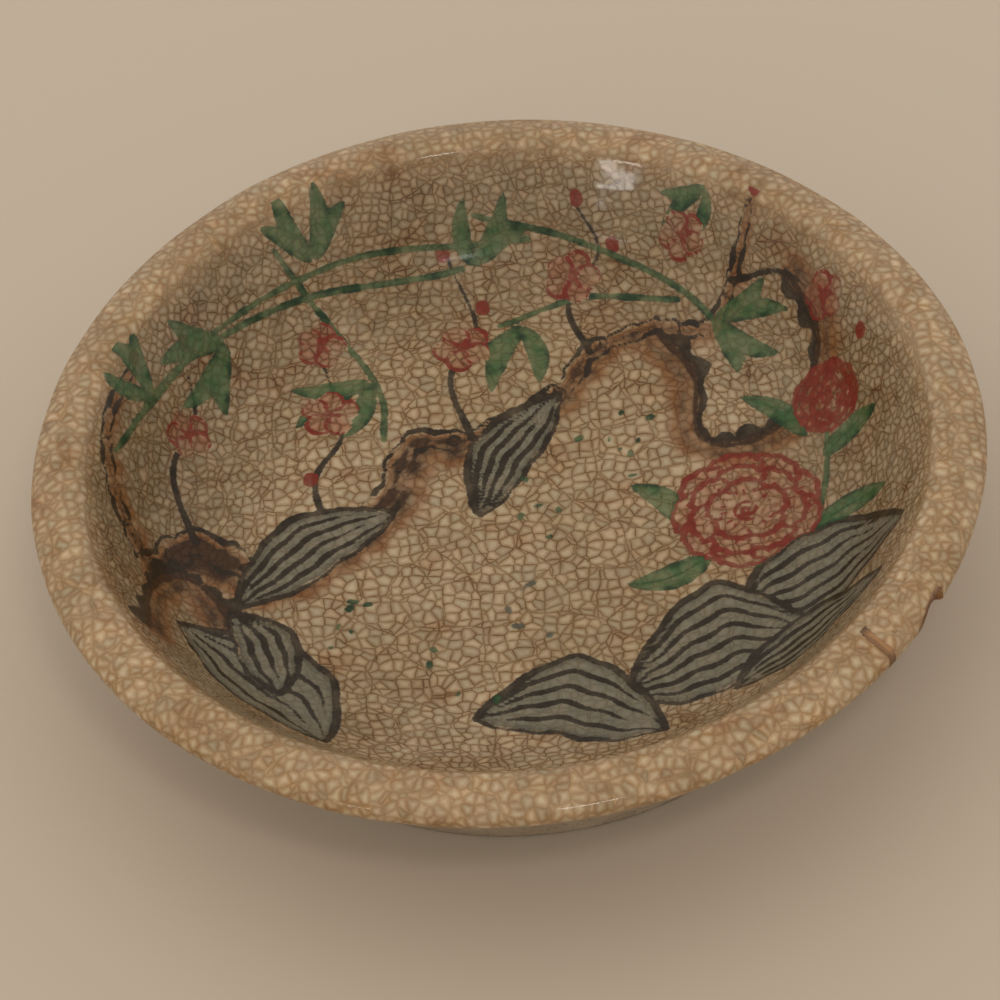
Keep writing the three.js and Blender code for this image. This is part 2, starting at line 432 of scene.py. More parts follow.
def chip_shape():
    """The hollow that the lost flake left in the outer edge of the fragment."""
    rows, columns = 20, 32
    up = np.pi * np.arange(1, rows) / rows
    around = 2 * np.pi * np.arange(columns) / columns
    ups, arounds = np.meshgrid(up, around, indexing="ij")
    rough = 1 + 0.05 * grain(3 * arounds, 2.5 * ups)
    level = rough * np.sin(ups)
    ball = [level * np.cos(arounds), level * np.sin(arounds), rough * np.cos(ups)]
    points = np.stack(ball).reshape(3, -1).T
    points = np.vstack([points, [[0, 0, 1]], [[0, 0, -1]]]) * CHIP_SIZE
    points += (RIM_RADIUS, 0, CHIP_HEIGHT)
    c, s = math.cos(CHIP_AT), math.sin(CHIP_AT)
    points = points @ np.array([[c, s, 0], [-s, c, 0], [0, 0, 1]])
    faces = []
    for i in range(rows - 2):
        faces += band_faces(i * columns, columns, (i + 1) * columns, columns)
    poles = (rows - 1) * columns
    faces += fan_faces(poles, 0, columns)
    faces += flipped(fan_faces(poles + 1, (rows - 2) * columns, columns))
    return points, faces


def piece_from(name, shape, materials, material_index=0):
    """A Blender object from points in millimetres, whose faces all take one of its materials."""
    points, faces = shape
    mesh = bpy.data.meshes.new(name)
    mesh.from_pydata((points * MM).tolist(), [], faces)
    for material in materials:
        mesh.materials.append(material)
    chosen = np.full(len(faces), material_index, dtype=np.int32)
    mesh.polygons.foreach_set("material_index", chosen)
    mesh.update()
    made = bpy.data.objects.new(name, mesh)
    bpy.context.scene.collection.objects.link(made)
    return made


def carve(piece, operation, cutter):
    """Applies one Boolean step to the piece's mesh."""
    modifier = piece.modifiers.new("carve", "BOOLEAN")
    modifier.operation = operation
    modifier.solver = "MANIFOLD"
    modifier.object = cutter
    graph = bpy.context.evaluated_depsgraph_get()
    result = bpy.data.meshes.new_from_object(piece.evaluated_get(graph))
    piece.modifiers.clear()
    old = piece.data
    piece.data = result
    result.name = old.name
    bpy.data.meshes.remove(old)


def discard(*pieces):
    for piece in pieces:
        mesh = piece.data
        bpy.data.objects.remove(piece)
        bpy.data.meshes.remove(mesh)


def points_of(piece):
    places = np.empty(len(piece.data.vertices) * 3, np.float32)
    piece.data.vertices.foreach_get("co", places)
    return places.reshape(-1, 3).astype(float) / MM


def note(piece, name, values):
    """Keeps a number at each point of the piece, for its materials."""
    field = piece.data.attributes.new(name, "FLOAT", "POINT")
    field.data.foreach_set("value", np.asarray(values, np.float32))


def shade(piece, sharp_angle):
    mesh = piece.data
    mesh.polygons.foreach_set("use_smooth", np.ones(len(mesh.polygons), dtype=bool))
    mesh.set_sharp_from_angle(angle=sharp_angle)


# Brushwork

def from_segment(here, a, b):
    """For each point, where along a straight line it lies, as a share, and how far from it."""
    step = b - a
    share = np.clip((here - a) @ step / max(step @ step, 1e-9), 0, 1)
    return share, np.linalg.norm(here - a - share[:, None] * step, axis=1)


class Brush:
    """Paints points of the inside, unrolled flat. Each layer holds how many millimetres a point
    lies inside the strokes, and less than nothing outside them."""

    def __init__(self, points):
        self.points = points
        self.layers = {name: np.full(len(points), UNPAINTED) for name in LAYERS}

    def near(self, shape, margin):
        low, high = shape.min(axis=0) - margin, shape.max(axis=0) + margin
        return np.flatnonzero(np.all((self.points > low) & (self.points < high), axis=1))

    def put(self, layer, near, found):
        self.layers[layer][near] = np.maximum(self.layers[layer][near], found)

    def stroke(self, layer, spine, half_widths, softness=1.0):
        spine = np.asarray(spine, float)
        half = np.broadcast_to(np.asarray(half_widths, float), len(spine))
        near = self.near(spine, half.max() + 3 * softness)
        here = self.points[near]
        found = np.full(len(near), -np.inf)
        for a, b, half_a, half_b in zip(spine[:-1], spine[1:], half[:-1], half[1:]):
            share, gap = from_segment(here, a, b)
            found = np.maximum(found, half_a + share * (half_b - half_a) - gap)
        self.put(layer, near, found / softness)

    def inside(self, near, outline):
        """How far points lie inside a closed outline."""
        here = self.points[near]
        gap = np.full(len(near), np.inf)
        within = np.zeros(len(near), bool)
        for a, b in zip(outline, np.roll(outline, -1, axis=0)):
            gap = np.minimum(gap, from_segment(here, a, b)[1])
            crosses = (a[1] > here[:, 1]) != (b[1] > here[:, 1])
            run, rise = b - a
            rise = rise if abs(rise) > 1e-9 else 1e-9
            within ^= crosses & (here[:, 0] < a[0] + (here[:, 1] - a[1]) * run / rise)
        return np.where(within, gap, -gap)

    def blob(self, layer, outline, inset=0.0, softness=1.0):
        near = self.near(outline, 3 * softness)
        self.put(layer, near, (self.inside(near, outline) - inset) / softness)

    def wipe(self, outline):
        """Clears what was painted inside an outline, so that the next shape lies in front."""
        near = self.near(outline, 0.5)
        hidden = near[self.inside(near, outline) > 0]
        for layer in self.layers.values():
            layer[hidden] = UNPAINTED


def through(points, per_span=7):
    """A smooth curve through points (Catmull-Rom)."""
    points = np.asarray(points, float)
    ends = np.vstack([2 * points[0] - points[1], points, 2 * points[-1] - points[-2]])
    t = np.arange(per_span)[:, None] / per_span
    spans = []
    for a, b, c, d in zip(ends[:-3], ends[1:-2], ends[2:-1], ends[3:]):
        square, cube = 2 * a - 5 * b + 4 * c - d, 3 * b - a - 3 * c + d
        spans.append(0.5 * (2 * b + (c - a) * t + square * t ** 2 + cube * t ** 3))
    return np.vstack(spans + [points[-1:]])


def rotated(points, turn):
    c, s = math.cos(turn), math.sin(turn)
    return np.asarray(points) @ np.array([[c, s], [-s, c]])


def sideways(spine):
    step = np.gradient(spine, axis=0)
    step /= np.maximum(np.linalg.norm(step, axis=1), 1e-9)[:, None]
    return np.column_stack([-step[:, 1], step[:, 0]])


def pressed(count, width, sharpness=0.7):
    """Half-widths of a stroke that starts and ends in a point."""
    return 0.5 * width * np.sin(np.pi * np.linspace(0.02, 0.98, count) ** 0.85) ** sharpness


def blade(brush, layer, root, tip, width, bow):
    """A leaf laid down in one stroke, bowed to one side."""
    root, tip = np.array(root, float), np.array(tip, float)
    share = np.linspace(0, 1, 15)
    side = np.array([root[1] - tip[1], tip[0] - root[0]])
    spine = root + share[:, None] * (tip - root) + (bow * np.sin(np.pi * share))[:, None] * side
    brush.stroke(layer, spine, pressed(15, width))


def leaf_spray(brush, node, heading, length, count):
    """Bamboo leaves that hang from one node of a stem."""
    for i in range(count):
        from_middle = i - (count - 1) / 2
        turn = heading + from_middle * 31 * DEG
        reach = length * (1 - 0.16 * abs(from_middle))
        start, tip = node + 1.5 * on_circle(turn), node + reach * on_circle(turn)
        blade(brush, "green", start, tip, 0.24 * length, 0.09 * (-1) ** i)


def stem(brush, points, width):
    brush.stroke("green", through(points), width / 2)


def blossom(brush, centre, radius, turn):
    """A plum blossom seen from the front: five round petals and a ring of stamens."""
    centre = np.array(centre, float)
    around = np.linspace(0, 2 * np.pi, 19)
    for petal in range(5):
        heading = turn + petal * 72 * DEG
        ring = centre + radius * (0.55 * on_circle(heading) + 0.45 * on_circle(around))
        brush.wipe(ring)
        brush.blob("rose", ring, inset=0.2)
        brush.stroke("red", ring, 0.42 + 0.16 * np.sin(around + heading))
    for petal in range(5):
        dot = centre + 0.40 * radius * on_circle(turn + (petal + 0.5) * 72 * DEG)
        brush.stroke("red", [centre, dot], [0.6, 0.35])


def bud(brush, centre, radius):
    centre = np.array(centre, float)
    brush.stroke("red", [centre, centre + (0.1, radius * 0.5)], radius * 0.8)


def peony(brush, centre, radius, turn):
    """A full blossom in rings of petals, each laid in front of the ring outside it."""
    centre = np.array(centre, float)
    share = np.linspace(0, 1, 25)
    around = np.linspace(-0.62 * math.pi, 0.62 * math.pi, 25)
    scallop = 1 + 0.06 * np.cos(9 * around)
    petal_edge = scallop[:, None] * on_circle(around) * (0.75, 1)
    rings = ((9, 1.0, 0.42), (7, 0.72, 0.36), (5, 0.44, 0.28))
    for ring, (count, reach, spread) in enumerate(rings):
        for petal in range(count):
            heading = turn + (petal + 0.5 * ring) * 2 * math.pi / count
            middle = np.array([reach * radius * (1 - 0.55 * spread), 0])
            edge = rotated(middle + spread * radius * petal_edge, heading) + centre
            whole = np.vstack([edge, centre])
            brush.wipe(whole)
            brush.blob("rose", whole, inset=0.25)
            brush.stroke("red", edge, 0.55 + 0.25 * np.sin(math.pi * share))
            for vein in (-0.5, 0, 0.5):
                start = radius * np.array([0.62 * reach, 0.7 * vein * spread])
                end = radius * np.array([0.92 * reach, 1.1 * vein * spread])
                line = rotated([start, (start + end) / 2, end], heading) + centre
                brush.stroke("red", line, [0.2, 0.5, 0.2])
    curl = np.linspace(0, 3.6 * math.pi, 40)
    heart = (0.2 + 0.012 * radius * curl)[:, None] * on_circle(curl)
    brush.stroke("red", centre + 1.4 * heart, 0.55)


def rock(brush, first, last, width, lines, phase, low=-0.35):
    """A garden rock between two points: a grey wash, and long brush lines from end to end."""
    first, last = np.array(first, float), np.array(last, float)
    share = np.linspace(0, 1, 41)
    step = last - first
    across = np.array([-step[1], step[0]]) / np.linalg.norm(step)
    arch = np.sin(math.pi * share) ** 0.75

    def line(bow):
        waver = 0.05 * np.sin(3 * math.pi * share + phase)
        waver += 0.02 * np.sin(9 * math.pi * share + 2 * phase)
        return first + share[:, None] * step + (width * arch * (bow + waver))[:, None] * across

    outline = np.vstack([line(1.0), line(low)[::-1]])
    brush.wipe(outline)
    brush.blob("wash", outline, inset=0.5)
    brush.stroke("ink", line(1.0), 0.75 + 0.35 * np.sin(5 * share + phase) ** 2)
    brush.stroke("ink", line(low), 0.55 + 0.25 * np.sin(4 * share - phase) ** 2)
    for i in range(lines):
        bow = low + (1 - low) * (i + 1) / (lines + 1)
        start, stop = (0, 34) if i % 2 else (4, 39)
        brush.stroke("ink", line(bow)[start:stop], 0.10 + pressed(stop - start, 1.5))


def ragged(brush, points, width, phase):
    """A dark bank: a black upper edge with short teeth, and a brown wash that fades below it."""
    spine = through(points, 10)
    share = np.linspace(0, 1, len(spine))
    side = sideways(spine)
    teeth = (0.5 + 0.5 * np.sin(43 * share + phase) * np.sin(27 * share + 2 * phase)) ** 2
    edge = spine + (0.30 * width * teeth)[:, None] * side
    brush.stroke("ink", edge, 0.6 + 0.20 * width * teeth)
    broad, narrow = 0.62 * width * (0.8 + 0.2 * teeth), 0.30 * width * (0.7 + 0.3 * teeth)
    brush.stroke("umber", spine - 0.45 * width * side, broad, softness=2.6)
    brush.stroke("umber", spine - 0.10 * width * side, narrow, softness=0.7)


def bough(brush, points, width_start, width_end, phase):
    """A gnarled bough: brown wash, rough black edges and knots."""
    spine = through(points, 12)
    count = len(spine)
    share = np.linspace(0, 1, count)
    half = 0.5 * (width_start + (width_end - width_start) * share)
    gnarls = 0.20 * np.sin(17 * share * math.pi + phase) + 0.12 * np.sin(41 * share * math.pi)
    half = half * (1 + gnarls)
    side = sideways(spine)
    brush.stroke("umber", spine - 0.9 * half[:, None] * side, 1.8 * half, softness=2.6)
    brush.stroke("umber", spine - 0.1 * half[:, None] * side, 0.8 * half, softness=0.8)
    edge = 0.35 + 0.55 * np.clip(np.sin(23 * share + phase), 0, 1) + 0.15 * (1 - share)
    brush.stroke("ink", spine + half[:, None] * side, edge)
    brush.stroke("ink", spine - half[:, None] * side, edge[::-1] * 0.85)
    for knot in range(6, count - 6, 15):
        if half[knot] > 1.4:
            ring = 0.42 * half[knot] * on_circle(np.linspace(0, 1.7 * math.pi, 9))
            brush.stroke("ink", spine[knot] + ring, 0.36)


def twig(brush, points, width):
    spine = through(points)
    brush.stroke("ink", spine, np.linspace(width / 2, 0.4, len(spine)))


def moss(brush, centre, count, spread, layer, rng):
    for place in np.array(centre) + rng.normal(0, spread, (count, 2)):
        heading = rng.uniform(0, 2 * math.pi)
        reach = rng.uniform(0.4, 1.6)
        tip = place + reach * on_circle(heading)
        brush.stroke(layer, [place, tip], rng.uniform(0.5, 1.0))


def paint_plum(brush):
    bough(brush, [(-91, -14), (-78, 1), (-62, -9), (-44, -1), (-30, 13)], 8.5, 6.5, 0.4)
    bough(brush, [(-30, 13), (-23, 30), (-8, 30), (15, 42), (24, 54), (41, 60)], 6.5, 4.5, 1.9)
    bough(brush, [(41, 60), (54, 56), (64, 66), (77, 84)], 4.5, 2.4, 2.6)
    bough(brush, [(-94, -12), (-104, 6), (-107, 26), (-100, 46)], 5, 2, 2.6)
    twig(brush, [(-78, 1), (-84, 22), (-78, 40), (-84, 56)], 2.2)
    twig(brush, [(-44, -1), (-48, 20), (-40, 36), (-44, 60)], 2.2)
    twig(brush, [(-8, 30), (-12, 50), (-4, 66), (-10, 88)], 2.2)
    twig(brush, [(24, 54), (20, 70), (30, 84), (26, 98)], 2.0)
    twig(brush, [(64, 66), (80, 62), (90, 46)], 2.0)
    for centre, radius, turn in (
        ((-80, 34), 6.6, 0.9),
        ((-43, 42), 7.4, 0.2),
        ((-44, 64), 6.4, 1.3),
        ((-8, 60), 7.4, 0.7),
        ((22, 78), 7.2, 1.1),
        ((54, 82), 6.8, 0.4),
        ((90, 50), 6.6, 0.1),
    ):
        blossom(brush, centre, radius, turn)
    left_buds = ((-84, 58), (-100, 48), (-49, 20), (-11, 88), (-2, 72))
    right_buds = ((27, 98), (34, 84), (79, 86), (98, 34))
    for centre in left_buds + right_buds:
        bud(brush, centre, 2.3)


def paint_bamboo(brush):
    for points in (
        [(-104, 18), (-84, 52), (-50, 76), (-6, 84)],
        [(-98, 30), (-72, 66), (-34, 88), (12, 90)],
        [(-2, 98), (24, 88), (50, 68), (62, 44)],
        [(-58, 88), (-40, 68), (-30, 48), (-30, 32)],
        [(2, 66), (24, 72), (48, 66)],
    ):
        stem(brush, points, 1.9)
    for node, heading, length, count in (
        ((-92, 40), 150 * DEG, 22, 3),
        ((-70, 62), 225 * DEG, 26, 4),
        ((-46, 86), 110 * DEG, 24, 4),
        ((-32, 52), 215 * DEG, 24, 3),
        ((-4, 84), 60 * DEG, 22, 3),
        ((8, 66), 245 * DEG, 24, 3),
        ((56, 58), 330 * DEG, 24, 4),
        ((66, 92), 200 * DEG, 18, 3),
    ):
        leaf_spray(brush, node, heading, length, count)


def paint_rocks(brush):
    bank = [(-97, -44), (-93, -22), (-82, -10), (-71, -20), (-69, -36)]
    brush.wipe(through(bank))
    ragged(brush, bank, 10, 0.3)
    rock(brush, (-84, -30), (-50, -70), 20, 4, 0.6)
    rock(brush, (-70, -22), (-60, -50), 11, 3, 5.1)
    rock(brush, (-68, -20), (-29, 8), 14, 4, 2.1)
    rock(brush, (-8, 4), (15, 41), 12, 4, 3.7)
    ragged(brush, [(42, 58), (50, 42), (49, 22), (60, 18), (74, 27), (84, 44), (80, 62)], 9, 1.7)
    rock(brush, (50, -44), (100, -34), 24, 5, 0.9, low=-0.15)
    rock(brush, (22, -62), (74, -56), 30, 6, 2.4, low=-0.12)
    rock(brush, (-14, -62), (30, -74), 22, 4, 4.0, low=-0.15)
    rock(brush, (48, -64), (92, -52), 15, 4, 1.3, low=-0.2)


def paint_peony(brush):
    stem(brush, [(58, -28), (57, -16), (56, -8)], 2.0)
    stem(brush, [(66, -26), (76, -4), (80, 16)], 1.8)
    for root, tip, width, bow in (
        ((46, -18), (26, -24), 8.0, 0.12),
        ((42, -8), (30, 8), 7.5, -0.12),
        ((72, -14), (94, -14), 7.5, 0.12),
        ((78, 8), (96, 12), 7.0, 0.10),
        ((74, 16), (60, 32), 6.5, -0.10),
    ):
        blade(brush, "green", root, tip, width, bow)
        blade(brush, "ink", root, tip, 0.9, bow)
    peony(brush, (57, -5), 17.0, 0.3)
    peony(brush, (82, 24), 9.0, 1.1)


def paint_inside(points):
    """The painted garden: plum and bamboo behind, rocks and peony in front."""
    brush = Brush(points)
    rng = np.random.default_rng(11)
    paint_bamboo(brush)
    paint_plum(brush)
    paint_peony(brush)
    paint_rocks(brush)
    for centre, count in (
        ((4, 6), 5),
        ((-40, -26), 6),
        ((26, 22), 5),
        ((-16, -46), 4),
        ((34, 30), 4),
    ):
        moss(brush, centre, count, 6, "green", rng)
    moss(brush, (0, -30), 5, 9, "wash", rng)
    return brush.layers


# Materials

class Surface:
    """A material under construction, with short ways to add and join its nodes."""

    def __init__(self, name):
        self.material = bpy.data.materials.new(name)
        self.material.use_nodes = True
        self.tree = self.material.node_tree
        self.tree.nodes.clear()

    def add(self, kind, inputs, **settings):
        node = self.tree.nodes.new("ShaderNode" + kind)
        for key, value in settings.items():
            setattr(node, key, value)
        for key, value in inputs.items():
            if isinstance(value, bpy.types.NodeSocket):
                self.tree.links.new(value, node.inputs[key])
            else:
                node.inputs[key].default_value = value
        return node

    def number(self, name):
        return self.add("Attribute", {}, attribute_name=name).outputs["Fac"]

    def math(self, operation, *values):
        return self.add("Math", dict(enumerate(values)), operation=operation).outputs[0]

    def times(self, first, *others):
        for other in others:
            first = self.math("MULTIPLY", first, other)
        return first

    def most(self, first, *others):
        for other in others:
            first = self.math("MAXIMUM", first, other)
        return first

    def scaled(self, value, factor, offset):
        return self.math("MULTIPLY_ADD", value, factor, offset)

    def vector(self, operation, *values, scale=None):
        inputs = dict(enumerate(values))
        if scale is not None:
            inputs["Scale"] = scale
        return self.add("VectorMath", inputs, operation=operation).outputs[0]

    def pushed(self, place, way, distance):
        return self.vector("ADD", place, self.vector("SCALE", way, scale=distance))

    def step(self, value, low, high, start=0.0, end=1.0):
        """Goes smoothly from start to end while the value goes from low to high."""
        inputs = {"Value": value, "From Min": low, "From Max": high, "To Min": start, "To Max": end}
        return self.add("MapRange", inputs, interpolation_type="SMOOTHSTEP").outputs[0]

    def blend(self, share, first, second, kind="MIX"):
        inputs = {0: share, 6: first, 7: second}
        return self.add("Mix", inputs, data_type="RGBA", blend_type=kind).outputs[2]

    def tinted(self, paint, tint, share=1.0):
        return self.blend(share, paint, tint, "MULTIPLY")

    def laid(self, under, over, value, low, high, most=1.0):
        """Lays one colour over another, more of it the further the value is from low to high."""
        return self.blend(self.step(value, low, high, 0, most), under, over)

    def noise(self, place, size, detail=2.0, roughness=0.5, output="Fac"):
        inputs = {"Vector": place, "Scale": 1 / size, "Detail": detail, "Roughness": roughness}
        return self.add("TexNoise", inputs).outputs[output]

    def cells(self, place, size, feature, randomness=1.0):
        inputs = {"Vector": place, "Scale": 1 / size, "Randomness": randomness}
        return self.add("TexVoronoi", inputs, voronoi_dimensions="2D", feature=feature).outputs

    def position(self):
        place = self.add("TexCoord", {}).outputs["Object"]
        return self.vector("SCALE", place, scale=1 / MM)

    def finish(self, bump, bump_depth, **inputs):
        """Closes the material. Depth of the bump in millimetres."""
        relief = self.add("Bump", {"Height": bump, "Strength": 1.0, "Distance": bump_depth * MM})
        inputs = {key.replace("_", " "): value for key, value in inputs.items()}
        shader = self.add("BsdfPrincipled", {**inputs, "Normal": relief.outputs[0]})
        output = self.add("OutputMaterial", {})
        self.tree.links.new(shader.outputs[0], output.inputs["Surface"])
        return self.material


def colour(red, green, blue):
    """An sRGB colour from 0 to 255, as the linear one that nodes take."""
    parts = [c / 255 for c in (red, green, blue)]
    return (*[c / 12.92 if c <= 0.04045 else ((c + 0.055) / 1.055) ** 2.4 for c in parts], 1.0)


GLAZE_PALE = colour(180, 160, 131)
GLAZE_TAN = colour(168, 147, 116)
GLAZE_OCHRE = colour(150, 112, 70)
UMBER, UMBER_DEEP = colour(128, 82, 38), colour(62, 37, 12)
WASH_DARK, WASH_PALE = colour(80, 78, 65), colour(108, 104, 88)
INK = colour(42, 31, 15)
ROSE, RED = colour(150, 82, 56), colour(118, 38, 20)
LEAF, LEAF_DEEP = colour(58, 90, 48), colour(26, 52, 26)
BREAK_STAIN = colour(104, 66, 36)
TOASTED = colour(140, 98, 60)
CLAY_PALE, CLAY_BROWN = colour(162, 144, 119), colour(142, 123, 99)
CLAY_RINGS, CLAY_IRON, CLAY_GROG = colour(96, 68, 46), colour(70, 48, 32), colour(186, 156, 122)
CLAY_DIRT = colour(78, 62, 50)
BROKEN_PALE, BROKEN_BROWN = colour(164, 124, 82), colour(132, 95, 58)
BROKEN_PITS = colour(92, 62, 40)
FILL_INNER, FILL_MIDDLE, FILL_OUTER = colour(74, 52, 28), colour(154, 110, 66), colour(100, 70, 40)
FILL_WORN, FILL_SIDES = colour(168, 128, 84), colour(104, 70, 40)
FLOOR_PALE, FLOOR_DARK = colour(196, 180, 160), colour(190, 174, 153)

# Tints that the colour under them is multiplied by
CELL_PINK = (1.03, 0.98, 0.94, 1)
CELL_OLIVE = (0.98, 1.0, 0.98, 1)
HALO_INSIDE = (0.58, 0.46, 0.32, 1)
HALO_LIP = (0.60, 0.45, 0.29, 1)
CRACK = (0.46, 0.34, 0.23, 1)

# The crackle: sizes of its cells, lengths along the profile where it changes, and the flat sheets
# that the lip and the outside are unrolled on
FIRST_CELLS, SMALL_CELLS = 10.5, 3.05
CORNER_FROM, CORNER_TO = 58.0, 82.0
FINER_FROM = 60.0
LIP_SHEET_AT, LIP_SHEET_RADIUS = (-500.0, 130.0, 0.0), 112.0
OUTSIDE_SHEET_AT, OUTSIDE_SHEET_RADIUS = (900.0, 200.0, 0.0), 104.0

# The gloss, worn up to the first of these lengths along the profile and whole from the second
WORN_TO, GLOSSY_FROM = 92.0, 106.0


class Glaze(Surface):
    """The crackled glaze, with the shares and noises that its steps have in common."""

    def __init__(self):
        super().__init__("crackle_glaze")
        self.place = self.position()
        self.along = self.number("along")
        self.fine = self.noise(self.place, 0.9, 3.0)
        self.medium = self.noise(self.place, 5.0, 3.0)
        self.patch = self.noise(self.shifted(71.0, 13.0, 5.0), 15.0, 3.0, 0.6)
        self.broken_up = self.noise(self.shifted(9.0, 47.0, 31.0), 3.2, 2.0)
        self.rough_edge = self.math(
            "ADD",
            self.scaled(self.fine, 0.8, -0.4),
            self.scaled(self.medium, 1.0, -0.5),
        )
        self.lip = self.step(self.along, AT_SHOULDER - 8.0, AT_SHOULDER + 5.0)
        steep = self.step(self.along, CORNER_FROM, CORNER_TO)
        self.wall = self.math("SUBTRACT", steep, self.lip)
        self.gap, self.cell = self.crackle()

    def shifted(self, *way):
        return self.vector("ADD", self.place, way)

    def past(self, start):
        return self.math("MAXIMUM", self.math("SUBTRACT", self.along, start), 0.0)

    def sheet(self, lip, outside):
        """The glaze unrolled flat, with a sheet each for the inside, the lip and the outside. It
        is stretched where the crackle is finer, and drawn in where the crackle is wider."""
        def choose(share, first, second):
            return self.scaled(share, self.math("SUBTRACT", second, first), first)

        heading = self.vector("NORMALIZE", self.vector("MULTIPLY", self.place, (1, 1, 0)))
        inside = self.scaled(self.past(FINER_FROM), 0.35, self.along)
        on_lip = self.scaled(self.past(AT_SHOULDER), 1.1, LIP_SHEET_RADIUS)
        under = self.scaled(self.past(AT_NECK), -0.9, OUTSIDE_SHEET_RADIUS)
        reach = choose(outside, choose(lip, inside, on_lip), under)
        sheet = self.vector("SCALE", heading, scale=reach)
        return self.pushed(self.pushed(sheet, LIP_SHEET_AT, lip), OUTSIDE_SHEET_AT, outside)

    def crackle(self):
        """Crazing: long first cracks, and smaller cells between them that end against them.
        Gives the distance to the nearest crack in millimetres, and random numbers for each cell."""
        past_shoulder = self.math("SUBTRACT", self.along, AT_SHOULDER + 3.5)
        border = self.scaled(self.medium, 7.0, past_shoulder)
        on_lip = self.math("GREATER_THAN", border, 0.0)
        sheet = self.sheet(on_lip, self.math("GREATER_THAN", self.along, AT_NECK))
        scale = self.scaled(self.math("SUBTRACT", 1.0, on_lip), 0.3, 1.0)
        scale = self.scaled(self.step(self.along, CORNER_TO, CORNER_FROM), -0.3, scale)
        scale = self.math("MAXIMUM", scale, 1.0)
        drift = self.noise(sheet, 7.0, 2.0, output="Color")
        sheet = self.pushed(sheet, self.vector("SUBTRACT", drift, (0.5, 0.5, 0.5)), 2.6)
        first_edge = self.cells(sheet, FIRST_CELLS, "DISTANCE_TO_EDGE")["Distance"]
        first_cell = self.cells(sheet, FIRST_CELLS, "F1")["Color"]
        moved = self.pushed(sheet, first_cell, 400.0)
        edge = self.cells(moved, SMALL_CELLS, "DISTANCE_TO_EDGE", 0.75)["Distance"]
        cell = self.cells(moved, SMALL_CELLS, "F1", 0.75)["Color"]
        gap = self.times(edge, SMALL_CELLS)
        gap = self.math("MINIMUM", gap, self.times(first_edge, FIRST_CELLS))
        gap = self.math("DIVIDE", gap, scale)
        for seam in (self.math("SUBTRACT", self.along, AT_NECK), border):
            gap = self.math("MINIMUM", gap, self.math("ABSOLUTE", seam))
        return gap, self.add("SeparateColor", {0: cell}).outputs

    def bare_colour_and_painted_shade(self):
        """The glaze itself, with tan stains that came through its cracks and a shade per cell.
        The wall is darker than the floor as painted shade, most of all on its -X side and least
            towards -Y, and the lip is lighter, partly from its glaze and partly as painted light."""
        broad = self.noise(self.place, 38.0, 2.0)
        glaze = self.laid(GLAZE_PALE, GLAZE_TAN, broad, 0.35, 0.65)
        glaze = self.laid(glaze, GLAZE_OCHRE, self.patch, 0.54, 0.72, 0.6)
        glaze = self.tinted(glaze, self.blend(self.cell[1], CELL_PINK, CELL_OLIVE))
        tone = self.scaled(self.cell[0], 0.24, 0.82)
        # painted shade: the wall is made darker than the floor
        tone = self.scaled(self.wall, -0.17, tone)
        # the lip is made lighter, partly its glaze and partly painted light
        tone = self.scaled(self.lip, 0.12, tone)
        uneven = self.scaled(self.cell[2], 0.16, -0.08)
        uneven = self.math("ADD", uneven, self.step(self.broken_up, 0.3, 0.7, -0.07, 0.07))
        tone = self.scaled(self.lip, uneven, tone)
        spot = self.add("SeparateXYZ", {0: self.place}).outputs
        # painted shade on the wall: darker towards -X, lighter towards -Y
        side = self.step(spot["X"], -100.0, -50.0, -0.12, 0.0)
        side = self.math("ADD", side, self.step(spot["Y"], -90.0, -30.0, 0.15, 0.0))
        tone = self.scaled(self.wall, side, tone)
        tone = self.scaled(self.math("SUBTRACT", self.fine, 0.5), 0.22, tone)
        return self.tinted(glaze, self.add("CombineColor", {0: tone, 1: tone, 2: tone}).outputs[0])

    def cover(self, name, low, high, thin, thick):
        """How strongly a layer covers, by patches, and how far inside its strokes a point is."""
        reach = self.math("ADD", self.number(name), self.rough_edge)
        mask = self.step(reach, low, high)
        return self.times(mask, self.step(self.medium, 0.3, 0.7, thin, thick)), reach

    def add_washes(self, paint):
        """Washes and lines under the glaze."""
        umber, reach = self.cover("umber", -0.5, 1.2, 0.66, 0.94)
        deep = self.step(reach, 0.8, 2.4)
        umber = self.most(umber, self.times(deep, 0.97))
        paint = self.blend(umber, paint, self.blend(deep, UMBER, UMBER_DEEP))
        wash, reach = self.cover("wash", -0.25, 0.35, 0.78, 0.97)
        grey = self.laid(WASH_DARK, WASH_PALE, reach, 0.2, 2.2)
        paint = self.blend(wash, paint, grey)
        ink, _ = self.cover("ink", -0.18, 0.22, 0.86, 1.0)
        self.washed = self.most(wash, ink, self.times(umber, 0.6))
        return self.blend(ink, paint, INK)

    def add_enamels(self, paint):
        """Enamels over the glaze."""
        rose, _ = self.cover("rose", -0.2, 0.3, 0.25, 0.60)
        paint = self.blend(rose, paint, ROSE)
        red, _ = self.cover("red", -0.15, 0.2, 0.78, 1.0)
        paint = self.blend(red, paint, RED)
        green, reach = self.cover("green", -0.15, 0.25, 0.70, 0.98)
        pooled = self.scaled(self.medium, 4.0, self.scaled(reach, -0.5, -1.5))
        leaf = self.laid(LEAF, LEAF_DEEP, pooled, -0.3, 1.0)
        self.enamel = self.most(red, green)
        return self.blend(green, paint, leaf)

    def add_break_stain(self, paint):
        """Brown stain along the break, round the chip and at the pinhole."""
        near = self.math("ADD", self.number("stain"), self.rough_edge)
        return self.laid(paint, BREAK_STAIN, near, -0.1, 0.7, 0.85)

